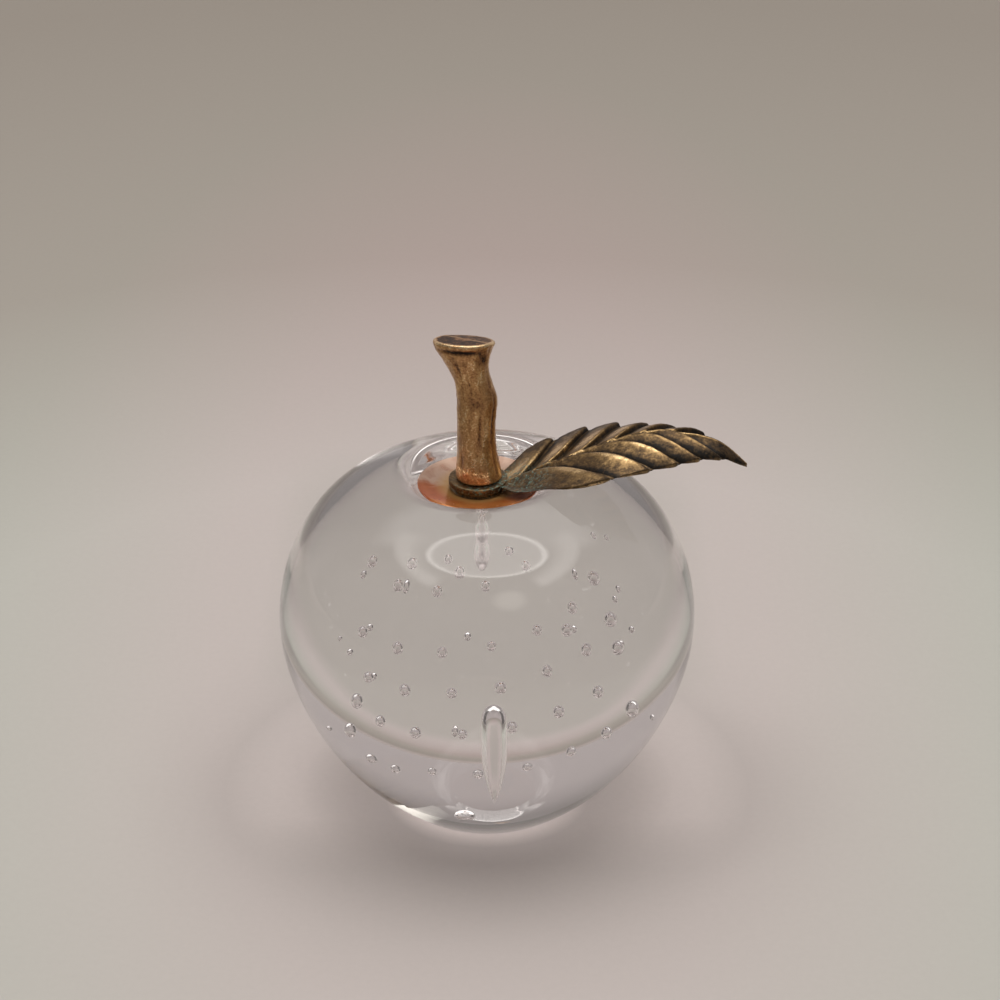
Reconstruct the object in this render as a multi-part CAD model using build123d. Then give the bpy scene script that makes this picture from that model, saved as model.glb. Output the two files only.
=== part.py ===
from build123d import *
import os
from math import cos, exp, pi, radians, sin, sqrt, tan

# Millimetres. The glass stands on z = 0, +X points to the leaf and +Y to the back of the apple.

# Glass body: a turned outline of tangent arcs that keeps its width when an arc changes
glassWidth = 80.0
heelRadius = 1.2
flankRadius = 57.0
bellyRadius = 34.5
shoulderRadius = 25.3
crownRadius = 36.0
# How far the surface's normal has tipped up from level where each arc begins, in degrees
flankStartLean = -53.2
bellyStartLean = -17.0
widestLean = 0.0
shoulderStartLean = 30.0
crownStartLean = 60.0
# The long arcs are turned as this many short straight cuts each
flankCuts = 7
lowerBellyCuts = 3
upperBellyCuts = 6
shoulderCuts = 6

# The crown, its bowl and its hole stand on an axis of their own, beside the glass axis
crownOffset = 1.6
bowlRadius = 18.5
bowlDepth = 7.6
bowlLipRadius = 4.0
holeRadius = 2.1
holeDepth = 8.4

# Air bubbles: level rings of an inner gather that leans a little in the glass
bubbleRadius = 0.85
backBubbleRadius = 0.5
bubbleSides = 5
bubbleCapShare = 0.7
bubbleColumns = 16
bubbleTurn = -6.0
bubbleTwist = -3.4
bubbleTilt = 8.5
bubbleRingRadius = 18.3
bubbleLowestRing = 22.7
bubbleRingSpacing = 6.9
bubbleRingShares = (1.0, 1.0, 1.0, 0.98, 0.82, 0.7)
lowBubbleRadius = 1.2
lowBubbleSide = -2.5
lowBubbleHeight = 11.2
gatherShift = 1.9
gatherLean = 3.2

# Two drops of air on the gather's line, each with its point down: height and radius of its rings, as shares
tearLength = 12.5
tearRadius = 1.53
tearTip = 13.8
tearRingShares = (
    (0.00, 0.03),
    (0.08, 0.22),
    (0.19, 0.45),
    (0.38, 0.72),
    (0.62, 0.97),
    (0.84, 1.00),
    (0.93, 0.86),
    (0.98, 0.55),
    (1.00, 0.15),
)
dropLength = 9.2
dropRadius = 1.16
dropTip = 42.3
dropRingShares = (
    (0.00, 0.05),
    (0.09, 0.72),
    (0.20, 1.00),
    (0.48, 0.90),
    (0.66, 0.80),
    (0.85, 0.64),
    (0.96, 0.45),
    (1.00, 0.15),
)
dropSides = 10

# Dished crown plate that rests on the bowl by its rim
dishRadius = 11.5
dishThickness = 0.6
dishCuts = 3
dishCurveRadius = 44.8
seatRadius = 4.8
seatHeight = 1.15
restGap = 0.05

# Stud that holds stem, washer, leaf and dish down on the glass
studRadius = 1.5
studInStem = 8.0
studInHole = 7.0
studGap = 0.1
cementGap = 0.03
cementTop = 0.4

# Leaf: an eye on the stud and one blade with swept, pillowed lobes
eyeRadius = 5.6
eyeThickness = 1.2
swivelGap = 0.05
leafReach = 50.6
leafRise = 10.4
leafHalfWidth = 12.4
leafDroop = 3.1
leafSideSlip = 1.2
bladeThickness = 0.8
bladeEdgeThickness = 0.5
lobeRelief = 0.6
lobeScallop = 0.7
veinHeight = 0.35
veinHalfWidth = 0.5

# Thin washer under the stem
washerRadius = 4.0
washerThickness = 0.4

# Stem: a cast twig with a flared, slanting cut end
stemHeight = 28.0
stemFootRadius = 4.35
stemDentRadius = 6.0
stemDentDepth = 0.5
# The cut end tips away from the front, and past a slanting crease a second facet tips further, in degrees
stemCutTilt = 9.0
stemFacetTilt = 7.0
stemCreaseTurn = 56.0
stemCreaseShift = 0.3

# Blade stations by hand: reach, rise, half width and droop, each a share of the size it follows
bladeStationShares = (
    (0.080, 0.00, 0.26, -0.05),
    (0.130, 0.04, 0.52, -0.15),
    (0.177, 0.13, 0.70, -0.22),
    (0.260, 0.31, 0.84, -0.05),
    (0.370, 0.52, 0.96, 0.26),
    (0.486, 0.74, 0.93, 0.56),
    (0.640, 0.94, 0.76, 0.98),
    (0.750, 0.92, 0.59, 0.84),
    (0.825, 0.85, 0.46, 0.60),
    (0.900, 0.70, 0.30, 0.38),
    (1.000, 0.31, 0.02, 0.05),
)
# Where the grooves between the lobes leave the vein and where they meet the edge, as shares of the reach
frontGrooveRootShares = (0.145, 0.300, 0.446, 0.574, 0.697)
frontGrooveEdgeShares = (0.488, 0.633, 0.737, 0.819, 0.900)
backGrooveRootShares = (0.153, 0.260, 0.385, 0.505, 0.620, 0.730)
backGrooveEdgeShares = (0.285, 0.416, 0.536, 0.645, 0.747, 0.850)
grooveBendShare = 0.8
bladeSections = 36
bladeColumns = 16
bladeBackColumns = 4
lobeRoundShare = 0.6
lobeLeanShare = 1.3
firstLobeShare = 0.02
lastLobeShare = 0.08
crestFadeShare = 0.5
tipFadeShare = 0.25
rootFadeShare = 0.08
droopPower = 1.6

# Stem sections by hand: height as a share of the stem, then the shift of the section's middle
# and its two half widths as shares of the foot's radius
stemSectionShares = (
    (0.000, 0.03, 1.00, 1.00),
    (0.060, 0.00, 0.96, 0.97),
    (0.180, -0.07, 0.86, 0.88),
    (0.320, -0.10, 0.83, 0.85),
    (0.460, -0.08, 0.85, 0.86),
    (0.580, -0.05, 0.87, 0.86),
    (0.690, -0.18, 0.80, 0.84),
    (0.780, -0.35, 0.84, 0.86),
    (0.870, -0.49, 1.02, 0.96),
    (0.940, -0.56, 1.22, 1.06),
    (1.000, -0.54, 1.37, 1.14),
)
stemSections = 16
stemSidePoints = 9
stemRippleShare = 0.035
stemRippleTurns = 1.1
stemDentShare = 0.6
stemDentSideShare = 0.3
stemDentFaceShare = 0.86

# Radius, first lean and straight cuts of each arc; one with no cuts stays a true arc
glassArcs = (
    (heelRadius, -90.0, 0),
    (flankRadius, flankStartLean, flankCuts),
    (bellyRadius, bellyStartLean, lowerBellyCuts),
    (bellyRadius, widestLean, upperBellyCuts),
    (shoulderRadius, shoulderStartLean, shoulderCuts),
    (crownRadius, crownStartLean, 0),
)


def leanPoint(centre, radius, lean):
    return (centre[0] + radius * cos(radians(lean)), 0, centre[1] + radius * sin(radians(lean)))


def glassOutline():
    leans = [lean for radius, lean, cuts in glassArcs] + [90.0]
    below = [k for k, lean in enumerate(leans) if lean < 0]
    baseRadius = glassWidth / 2
    for k in below:
        top = min(leans[k + 1], 0.0)
        baseRadius -= glassArcs[k][0] * (cos(radians(top)) - cos(radians(leans[k])))
    point = (baseRadius, 0, 0)
    edges = [Line((0, 0, 0), point)]
    for k, (radius, lean, cuts) in enumerate(glassArcs):
        centre = (point[0] - radius * cos(radians(lean)), point[2] - radius * sin(radians(lean)))
        span = leans[k + 1] - lean
        if cuts:
            ends = [leanPoint(centre, radius, lean + span * (cut + 1) / cuts) for cut in range(cuts)]
            edges.append(Polyline([point] + ends))
            point = ends[-1]
        else:
            end = leanPoint(centre, radius, leans[k + 1])
            edges.append(ThreePointArc(point, leanPoint(centre, radius, lean + span / 2), end))
            point = end
    top = (0, 0, point[2])
    edges.append(Line(point, top))
    edges.append(Line(top, (0, 0, 0)))
    return edges, point[2]


glassEdges, crownHeight = glassOutline()
bowlFloor = crownHeight - bowlDepth


def onCrown(shape):
    return Pos(-crownOffset, 0, 0) * shape


def turned(edges):
    return revolve(make_face(edges), Axis.Z)


def bowlHeight(radius):
    return bowlFloor + bowlRadius - sqrt(bowlRadius**2 - radius**2)


# The dish's upper and lower faces share one centre, so that its wall keeps its thickness
dishRimHeight = bowlHeight(dishRadius) + restGap
dishCentre = dishRimHeight + sqrt((dishCurveRadius + dishThickness) ** 2 - dishRadius**2)
dishFloor = dishCentre - dishCurveRadius
seatTop = dishFloor + seatHeight
eyeBase = seatTop + swivelGap
eyeTop = eyeBase + eyeThickness
washerBase = eyeTop + swivelGap
stemBase = washerBase + washerThickness
studBoreRadius = studRadius + studGap
studEnd = bowlFloor - studInHole
holeFloor = bowlFloor - holeDepth


def gatherPlace(height):
    return gatherShift - height * tan(radians(gatherLean))


def makeDrop(tip, length, radius, ringShares):
    rings = []
    for heightShare, radiusShare in ringShares:
        ring = RegularPolygon(radius * radiusShare, dropSides)
        rings.append((Pos(gatherPlace(tip + length / 2), 0, tip + length * heightShare) * ring).wire())
    return Solid.make_loft(rings, ruled=True)


def makeBubble(radius):
    rings = []
    for lift in (-1, 0, 1):
        ring = RegularPolygon(radius * sqrt(1 - (lift * bubbleCapShare) ** 2), bubbleSides)
        rings.append((Pos(0, 0, lift * radius * bubbleCapShare) * ring).wire())
    return Solid.make_loft(rings, ruled=True)


def makeBubbles():
    # The back half has every second column only, and smaller bubbles
    front, back = makeBubble(bubbleRadius), makeBubble(backBubbleRadius)
    bubbles = [Pos(lowBubbleSide, 0, lowBubbleHeight) * makeBubble(lowBubbleRadius)]
    for ring, share in enumerate(bubbleRingShares):
        height = bubbleLowestRing + ring * bubbleRingSpacing
        radius = bubbleRingRadius * share
        for column in range(bubbleColumns):
            angle = radians(bubbleTurn + ring * bubbleTwist + column * 360 / bubbleColumns)
            side = radius * sin(angle)
            rise = side * tan(radians(bubbleTilt))
            place = Pos(gatherPlace(height) + side, -radius * cos(angle), height + rise)
            if cos(angle) > 0:
                bubbles.append(place * front)
            elif column % 2:
                bubbles.append(place * back)
    return bubbles


def makeGlass():
    body = turned(glassEdges)
    bowl = onCrown(Pos(0, 0, bowlFloor + bowlRadius) * Sphere(bowlRadius))
    body -= bowl
    lip = body.edges().sort_by(Axis.Z)[-1]
    body = fillet(lip, bowlLipRadius)
    hole = onCrown(Pos(0, 0, holeFloor) * extrude(Circle(holeRadius), holeDepth + holeRadius))
    tear = makeDrop(tearTip, tearLength, tearRadius, tearRingShares)
    drop = makeDrop(dropTip, dropLength, dropRadius, dropRingShares)
    return body - [hole, tear, drop] - makeBubbles()


def makeCement():
    bottom = holeFloor + cementGap
    height = bowlFloor - cementTop - bottom
    plug = Pos(0, 0, bottom) * extrude(Circle(holeRadius - cementGap), height)
    studRoom = Pos(0, 0, studEnd) * extrude(Circle(studRadius + cementGap), height)
    return onCrown(plug - studRoom)


def makeStud():
    length = stemBase + studInStem - studEnd
    return onCrown(Pos(0, 0, studEnd) * extrude(Circle(studRadius), length))


def makeDish():
    def dished(sphereRadius, first, last):
        radii = [first + (last - first) * cut / dishCuts for cut in range(dishCuts + 1)]
        return [(radius, 0, dishCentre - sqrt(sphereRadius**2 - radius**2)) for radius in radii]

    under = dished(dishCurveRadius + dishThickness, studBoreRadius, dishRadius)
    floor = dished(dishCurveRadius, dishRadius, seatRadius)
    seat = [(seatRadius, 0, seatTop), (studBoreRadius, 0, seatTop)]
    return onCrown(turned(Polyline(under + floor + seat, close=True)))


def betweenRows(rows, share):
    # Smooth values between rows set by hand
    k = 0
    while k < len(rows) - 2 and share > rows[k + 1][0]:
        k += 1
    a, b = rows[k], rows[k + 1]
    before, after = rows[max(k - 1, 0)], rows[min(k + 2, len(rows) - 1)]
    span = b[0] - a[0]
    u = (share - a[0]) / span
    values = []
    for c in range(1, len(a)):
        slopeA = (b[c] - before[c]) / (b[0] - before[0]) * span
        slopeB = (after[c] - a[c]) / (after[0] - a[0]) * span
        values.append(
            (2 * u**3 - 3 * u**2 + 1) * a[c]
            + (u**3 - 2 * u**2 + u) * slopeA
            + (3 * u**2 - 2 * u**3) * b[c]
            + (u**3 - u**2) * slopeB
        )
    return values


def lobeSwell(share, across):
    roots, ends = frontGrooveRootShares, frontGrooveEdgeShares
    if across > 0:
        roots, ends = backGrooveRootShares, backGrooveEdgeShares
    bend = abs(across) ** grooveBendShare
    grooves = [a + (b - a) * bend for a, b in zip(roots, ends)]
    grooves = [firstLobeShare] + grooves + [1 + lastLobeShare]
    k = max(k for k, groove in enumerate(grooves) if groove <= share)
    along = (share - grooves[k]) / (grooves[k + 1] - grooves[k])
    return sin(pi * along**lobeLeanShare) ** lobeRoundShare


def bladePoint(share, across, top):
    rise, width, droop = betweenRows(bladeStationShares, share)
    edge = abs(across)
    swell = lobeSwell(share, across)
    halfWidth = leafHalfWidth * width
    tipFade = min(1.0, width / tipFadeShare)
    halfWidth -= lobeScallop * (1 - swell) * edge**4 * tipFade
    slip = leafSideSlip * (1 - share) ** 2
    side = halfWidth * across - slip
    height = eyeBase + bladeThickness + leafRise * rise - leafDroop * droop * edge**droopPower
    thickness = bladeThickness + (bladeEdgeThickness - bladeThickness) * edge
    if top:
        fade = tipFade * min(1.0, (share - bladeStationShares[0][0]) / rootFadeShare)
        vein = veinHeight * exp(-((halfWidth * across / veinHalfWidth) ** 2)) * fade
        height += lobeRelief * swell * fade * (1 - crestFadeShare * edge**3) + vein
    else:
        height -= thickness
    return (leafReach * share, side, height)


def bladeSection(share):
    up = [bladePoint(share, 2 * j / bladeColumns - 1, True) for j in range(bladeColumns + 1)]
    low = [bladePoint(share, 1 - 2 * j / bladeBackColumns, False) for j in range(bladeBackColumns + 1)]
    return Wire.make_polygon(up + low, close=True)


def makeLeaf():
    first = bladeStationShares[0][0]
    shares = [first + (1 - first) * k / bladeSections for k in range(bladeSections + 1)]
    blade = Solid.make_loft([bladeSection(share) for share in shares], ruled=True)
    eye = Pos(0, 0, eyeBase) * extrude(Circle(eyeRadius), eyeThickness)
    boreLength = 2 * (eyeThickness + bladeThickness + leafRise)
    bore = Pos(0, 0, eyeBase) * Cylinder(studRadius + swivelGap, boreLength)
    return onCrown((eye + blade) - bore)


def makeWasher():
    ring = Circle(washerRadius) - Circle(studBoreRadius)
    return onCrown(Pos(0, 0, washerBase) * extrude(ring, washerThickness))


def stemSection(share):
    shift, width, depth = betweenRows(stemSectionShares, share)
    slope = tan(radians(stemCutTilt)) * share**4
    rippleHeight = stemRippleShare * min(1.0, stemSections * share)
    points = []
    for k in range(stemSidePoints):
        angle = 2 * pi * k / stemSidePoints
        ripple = 1 + rippleHeight * sin(3 * angle + 2 * pi * stemRippleTurns * share)
        x = stemFootRadius * (shift + width * ripple * cos(angle))
        y = stemFootRadius * depth * ripple * sin(angle)
        points.append((x, y, stemBase + stemHeight * share - y * slope))
    return Wire([Spline(points, periodic=True)])


def makeStem():
    stem = Solid.make_loft([stemSection(k / stemSections) for k in range(stemSections + 1)], ruled=True)
    bore = Pos(0, 0, stemBase) * Cylinder(studRadius + cementGap, 2 * (studInStem + cementGap))
    across, back = cos(radians(stemCreaseTurn)), sin(radians(stemCreaseTurn))
    cut, facet = tan(radians(stemCutTilt)), tan(radians(stemFacetTilt))
    topMiddle = stemFootRadius * stemSectionShares[-1][1]
    creaseHeight = stemBase + stemHeight - stemCreaseShift * back * cut
    crease = (topMiddle + stemCreaseShift * across, stemCreaseShift * back, creaseHeight)
    facetPlane = Plane(origin=crease, z_dir=(facet * across, cut + facet * back, 1))
    stem = split(stem, bisect_by=facetPlane, keep=Keep.BOTTOM)
    dentHeight = stemBase + stemHeight * stemDentShare
    dentPlace = -stemFootRadius * stemDentFaceShare - stemDentRadius + stemDentDepth
    dent = Pos(-stemFootRadius * stemDentSideShare, dentPlace, dentHeight) * Sphere(stemDentRadius)
    return onCrown(stem - bore - dent)


pieces = {
    "glass_body": makeGlass,
    "cement_plug": makeCement,
    "stud": makeStud,
    "crown_dish": makeDish,
    "leaf": makeLeaf,
    "stem_washer": makeWasher,
    "stem": makeStem,
}

os.makedirs("parts", exist_ok=True)
for name, make in pieces.items():
    shape = make()
    box = shape.bounding_box()
    print(name, "volume", round(shape.volume, 2), "solids", len(shape.solids()), "valid", shape.is_valid)
    print("   from", [round(v, 2) for v in box.min], "to", [round(v, 2) for v in box.max])
    export_step(shape, "parts/" + name + ".step")
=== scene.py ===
from math import cos, pi, radians, sin, sqrt, tan

import bpy
import numpy as np
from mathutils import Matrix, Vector, noise


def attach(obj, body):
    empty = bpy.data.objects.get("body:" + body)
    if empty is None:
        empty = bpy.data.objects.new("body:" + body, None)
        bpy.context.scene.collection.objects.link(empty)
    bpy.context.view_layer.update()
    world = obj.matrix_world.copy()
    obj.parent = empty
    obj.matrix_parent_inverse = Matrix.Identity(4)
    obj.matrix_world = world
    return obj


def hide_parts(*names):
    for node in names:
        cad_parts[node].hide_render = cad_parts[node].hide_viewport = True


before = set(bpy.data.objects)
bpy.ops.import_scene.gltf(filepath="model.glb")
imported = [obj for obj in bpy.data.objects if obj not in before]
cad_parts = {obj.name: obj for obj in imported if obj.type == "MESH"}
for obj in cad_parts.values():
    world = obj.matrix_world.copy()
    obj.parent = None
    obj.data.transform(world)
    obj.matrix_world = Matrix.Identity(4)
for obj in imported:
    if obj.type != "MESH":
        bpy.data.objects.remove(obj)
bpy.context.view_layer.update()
print("frame loaded with", len(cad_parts), "nodes")

mm = 0.001
appleBody = "apple"
leafBody = "leaf_arm"

# Sizes are in millimetres, in the frame's own axes: +X to the leaf, -Y to the camera.
# The floor, and the distances that a shader compares, are in metres.

# Mesh helpers


def ringShell(rings, low=None, high=None):
    # a skin over equal rings, with its outside out when they run up, and a point at either end
    rings = np.asarray(rings, float)
    count, around = rings.shape[:2]
    points = rings.reshape(-1, 3)
    here = np.arange(count * around).reshape(count, around)
    beside = np.roll(here, -1, axis=1)
    faces = np.stack([here[:-1], beside[:-1], beside[1:], here[1:]], axis=-1).reshape(-1, 4).tolist()
    if low is not None:
        points = np.vstack([points, [low]])
        faces += [(len(points) - 1, int(b), int(a)) for a, b in zip(here[0], beside[0])]
    if high is not None:
        points = np.vstack([points, [high]])
        faces += [(len(points) - 1, int(a), int(b)) for a, b in zip(here[-1], beside[-1])]
    return points, faces


def lathe(profile, turns, centreX=0.0):
    # one ring for each radius and height of the profile
    angles = np.linspace(0, 2 * pi, turns, endpoint=False)
    rings = []
    for radius, height in profile:
        x = centreX + radius * np.cos(angles)
        y = radius * np.sin(angles)
        rings.append(np.stack([x, y, np.full(turns, height)], axis=-1))
    return np.array(rings)


def roundedRing(inner, outer, low, high, roundness, steps=5):
    # section of a flat ring with rounded corners, from the bore round the outside and back
    corners = (
        (inner + roundness, low + roundness, -180),
        (outer - roundness, low + roundness, -90),
        (outer - roundness, high - roundness, 0),
        (inner + roundness, high - roundness, 90),
    )
    section = []
    for radius, height, first in corners:
        for k in range(steps + 1):
            angle = radians(first + 90 * k / steps)
            section.append((radius + roundness * cos(angle), height + roundness * sin(angle)))
    return section + section[:1]


def makePiece(name, shells, material, body, nodes=(), marks=None, sharpAngle=None):
    # one smooth mesh from its shells; each mark is a value at every point, for the material to read
    points = []
    faces = []
    start = 0
    for shellPoints, shellFaces in shells:
        points.append(np.asarray(shellPoints))
        faces += [tuple(v + start for v in face) for face in shellFaces]
        start += len(shellPoints)
    mesh = bpy.data.meshes.new(name)
    mesh.from_pydata((np.vstack(points) * mm).tolist(), [], faces)
    for mark, values in (marks or {}).items():
        attribute = mesh.attributes.new(mark, "FLOAT", "POINT")
        attribute.data.foreach_set("value", np.asarray(values, np.float32))
    mesh.shade_smooth()
    if sharpAngle:
        mesh.set_sharp_from_angle(angle=radians(sharpAngle))
    mesh.materials.append(material)
    piece = bpy.data.objects.new(name, mesh)
    bpy.context.scene.collection.objects.link(piece)
    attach(piece, body)
    if nodes:
        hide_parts(*nodes)
    return piece


def smoothStations(rows, share):
    # cubic values between listed stations
    k = 0
    while k < len(rows) - 2 and share > rows[k + 1][0]:
        k += 1
    a, b = rows[k], rows[k + 1]
    before, after = rows[max(k - 1, 0)], rows[min(k + 2, len(rows) - 1)]
    span = b[0] - a[0]
    u = (share - a[0]) / span
    values = []
    for c in range(1, len(a)):
        slopeA = (b[c] - before[c]) / (b[0] - before[0]) * span
        slopeB = (after[c] - a[c]) / (after[0] - a[0]) * span
        first = (2 * u**3 - 3 * u**2 + 1) * a[c] + (u**3 - 2 * u**2 + u) * slopeA
        values.append(first + (3 * u**2 - 2 * u**3) * b[c] + (u**3 - u**2) * slopeB)
    return values


def grain(point, size, seed=0.0):
    # smooth noise from -1 to 1 with features of about this size in millimetres
    place = (point[0] / size + seed, point[1] / size - seed, point[2] / size + 2 * seed)
    return noise.noise(Vector(place))


# Material helpers


def newMaterial(name):
    material = bpy.data.materials.new(name)
    material.use_nodes = True
    tree = material.node_tree
    return material, tree, tree.nodes["Principled BSDF"]


def addNode(tree, kind, inputs=None, **settings):
    node = tree.nodes.new(kind)
    for key, value in settings.items():
        setattr(node, key, value)
    for key, value in (inputs or {}).items():
        if isinstance(value, bpy.types.NodeSocket):
            tree.links.new(value, node.inputs[key])
        else:
            node.inputs[key].default_value = value
    return node


def objectPlace(tree):
    return addNode(tree, "ShaderNodeTexCoord").outputs["Object"]


def addMath(tree, operation, first, second):
    return addNode(tree, "ShaderNodeMath", {0: first, 1: second}, operation=operation).outputs[0]


def addProduct(tree, *factors):
    product = factors[0]
    for factor in factors[1:]:
        product = addMath(tree, "MULTIPLY", product, factor)
    return product


def addVector(tree, operation, first, second=(0.0, 0.0, 0.0)):
    node = addNode(tree, "ShaderNodeVectorMath", {0: first, 1: second}, operation=operation)
    plain = operation in ("LENGTH", "DISTANCE", "DOT_PRODUCT")
    return node.outputs["Value" if plain else "Vector"]


def addRange(tree, value, low, high, toLow=0.0, toHigh=1.0):
    settings = {"Value": value, "From Min": low, "From Max": high, "To Min": toLow, "To Max": toHigh}
    return addNode(tree, "ShaderNodeMapRange", settings).outputs["Result"]


def addNoise(tree, size, detail=4.0, roughness=0.55, distortion=0.0, upright=1.0):
    # object coordinates are metres, so the size in millimetres sets the scale; upright draws it out along Z
    place = objectPlace(tree)
    if upright != 1.0:
        place = addVector(tree, "MULTIPLY", place, (1.0, 1.0, 1 / upright))
    settings = {"Vector": place, "Scale": 1 / (size * mm), "Detail": detail}
    settings.update({"Roughness": roughness, "Distortion": distortion})
    return addNode(tree, "ShaderNodeTexNoise", settings).outputs["Fac"]


def addRamp(tree, value, places, tones):
    node = addNode(tree, "ShaderNodeValToRGB", {"Fac": value})
    elements = node.color_ramp.elements
    while len(elements) < len(tones):
        elements.new(0.5)
    for element, place, tone in zip(elements, places, tones):
        element.position = place
        element.color = (*tone, 1.0)
    return node.outputs["Color"]


def addMix(tree, factor, first, second):
    node = addNode(tree, "ShaderNodeMix", {"Factor": factor}, data_type="RGBA")
    for key, value in (("A", first), ("B", second)):
        socket = [s for s in node.inputs if s.name == key and s.type == "RGBA"][0]
        if isinstance(value, bpy.types.NodeSocket):
            tree.links.new(value, socket)
        else:
            socket.default_value = (*value, 1.0)
    return [s for s in node.outputs if s.type == "RGBA"][0]


def addBump(tree, height, strength, distance):
    settings = {"Height": height, "Strength": strength, "Distance": distance * mm}
    return addNode(tree, "ShaderNodeBump", settings).outputs["Normal"]


# Glass

glassShape = {
    "width": 79.97,
    # radius of each arc and the lean of its normal where it starts, from the foot up
    "arcs": ((1.2, -90.0), (57.0, -53.2), (34.5, -17.0), (25.3, 30.0), (36.0, 60.0)),
    "crownOffset": 1.6,  # the bowl and what stands in it lie this far to the left of the foot's axis
    "bowlRadius": 18.5,
    "bowlDepth": 7.6,
    "lipRadius": 4.0,
    "lipFrom": 40.0,  # the lip leaves the outside above this lean
    "holeRadius": 2.1,
    "holeDepth": 8.4,
    "holeRound": 0.3,
    "turns": 220,
    "steps": {"foot": 7, "heel": 9, "flank": 130, "lip": 16, "bowl": 26, "hole": 10, "corner": 5},
    "tint": (0.955, 0.94, 0.946),
    "ior": 1.52,
}
crownX = -glassShape["crownOffset"]


def clearGlassMaterial():
    # clear, with faint smudges and a slight waviness
    material, tree, shader = newMaterial("clearGlass")
    shader.inputs["Base Color"].default_value = (*glassShape["tint"], 1.0)
    shader.inputs["IOR"].default_value = glassShape["ior"]
    shader.inputs["Transmission Weight"].default_value = 1.0
    smudge = addRange(tree, addNoise(tree, 9.0, detail=3.0), 0.5, 0.75, 0.0, 0.012)
    tree.links.new(smudge, shader.inputs["Roughness"])
    tree.links.new(addBump(tree, addNoise(tree, 14.0, detail=1.0), 0.04, 0.3), shader.inputs["Normal"])
    return material


def outlineTable():
    # the turned outline as lean, radius and height, finely stepped by the lean of its normal
    arcs = glassShape["arcs"]
    leans = [lean for radius, lean in arcs] + [90.0]
    radius = glassShape["width"] / 2
    for k, (arcRadius, lean) in enumerate(arcs):
        if lean < 0:
            radius -= arcRadius * (cos(radians(min(leans[k + 1], 0.0))) - cos(radians(lean)))
    height = 0.0
    table = []
    for k, (arcRadius, lean) in enumerate(arcs):
        centreRadius = radius - arcRadius * cos(radians(lean))
        centreHeight = height - arcRadius * sin(radians(lean))
        for angle in np.radians(np.linspace(lean, leans[k + 1], 1200, endpoint=False)):
            there = (centreRadius + arcRadius * cos(angle), centreHeight + arcRadius * sin(angle))
            table.append((np.degrees(angle), *there))
        radius = centreRadius + arcRadius * cos(radians(leans[k + 1]))
        height = centreHeight + arcRadius * sin(radians(leans[k + 1]))
    return np.array(table), height


outline, crownHeight = outlineTable()
bowlFloor = crownHeight - glassShape["bowlDepth"]
bowlCentre = bowlFloor + glassShape["bowlRadius"]
holeFloor = bowlFloor - glassShape["holeDepth"]


def bowlHeight(radius):
    return bowlCentre - sqrt(glassShape["bowlRadius"] ** 2 - radius**2)


def holeSection():
    # down the wall of the hole, round its corner and in over its floor
    mouth = glassShape["holeRadius"]
    corner = glassShape["holeRound"]
    steps = glassShape["steps"]
    levels = np.linspace(bowlHeight(mouth), holeFloor + corner, steps["hole"])[1:]
    walls = np.stack([np.full(len(levels), mouth), levels], axis=-1)
    angles = np.radians(np.linspace(0, 90, steps["corner"])[1:])
    across = mouth - corner + corner * np.cos(angles)
    down = holeFloor + corner - corner * np.sin(angles)
    return np.vstack([walls, np.stack([across, down], axis=-1), [(0.8, holeFloor), (0.2, holeFloor)]])


def crownSection(turn):
    # the glass skin at this turn about the crown's axis: foot, flank, lip, bowl and hole
    shape = glassShape
    steps = shape["steps"]
    offset, lip, bowl = shape["crownOffset"], shape["lipRadius"], shape["bowlRadius"]
    lean, radius, height = outline.T
    away = offset * cos(turn) + np.sqrt(np.maximum(radius**2 - (offset * sin(turn)) ** 2, 1e-9))
    along = np.gradient(away)
    up = np.gradient(height)
    length = np.hypot(along, up)
    normals = np.stack([up / length, -along / length], axis=-1)
    # the lip's ball rolls inside the outline until it touches the bowl from above
    centres = np.stack([away, height], axis=-1) - lip * normals
    gap = np.hypot(centres[:, 0], centres[:, 1] - bowlCentre) - (bowl + lip)
    touching = (gap < 0) & (lean > shape["lipFrom"])
    touch = np.argmax(touching) if np.any(touching) else len(gap) - 1
    centre = centres[touch]
    heelEnd = shape["arcs"][1][1]
    heel = np.linspace(-90, heelEnd, steps["heel"])[:-1]
    leans = np.concatenate([heel, np.linspace(heelEnd, lean[touch], steps["flank"])])
    outside = np.stack([np.interp(leans, lean, away), np.interp(leans, lean, height)], axis=-1)
    footReach = np.linspace(0.15, 0.985, steps["foot"]) * outside[0, 0]
    foot = np.stack([footReach, np.zeros(len(footReach))], axis=-1)
    toBowl = np.array([0.0, bowlCentre]) - centre
    first = np.arctan2(normals[touch, 1], normals[touch, 0])
    last = np.arctan2(toBowl[1], toBowl[0])
    angles = np.linspace(first, last, steps["lip"])[1:]
    rim = centre + lip * np.stack([np.cos(angles), np.sin(angles)], axis=-1)
    startAngle = np.arcsin(rim[-1, 0] / bowl)
    endAngle = np.arcsin(shape["holeRadius"] / bowl)
    sweep = np.linspace(startAngle, endAngle, steps["bowl"])[1:]
    dishing = np.stack([bowl * np.sin(sweep), bowlCentre - bowl * np.cos(sweep)], axis=-1)
    return np.vstack([foot, outside, rim, dishing, holeSection()])


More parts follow.
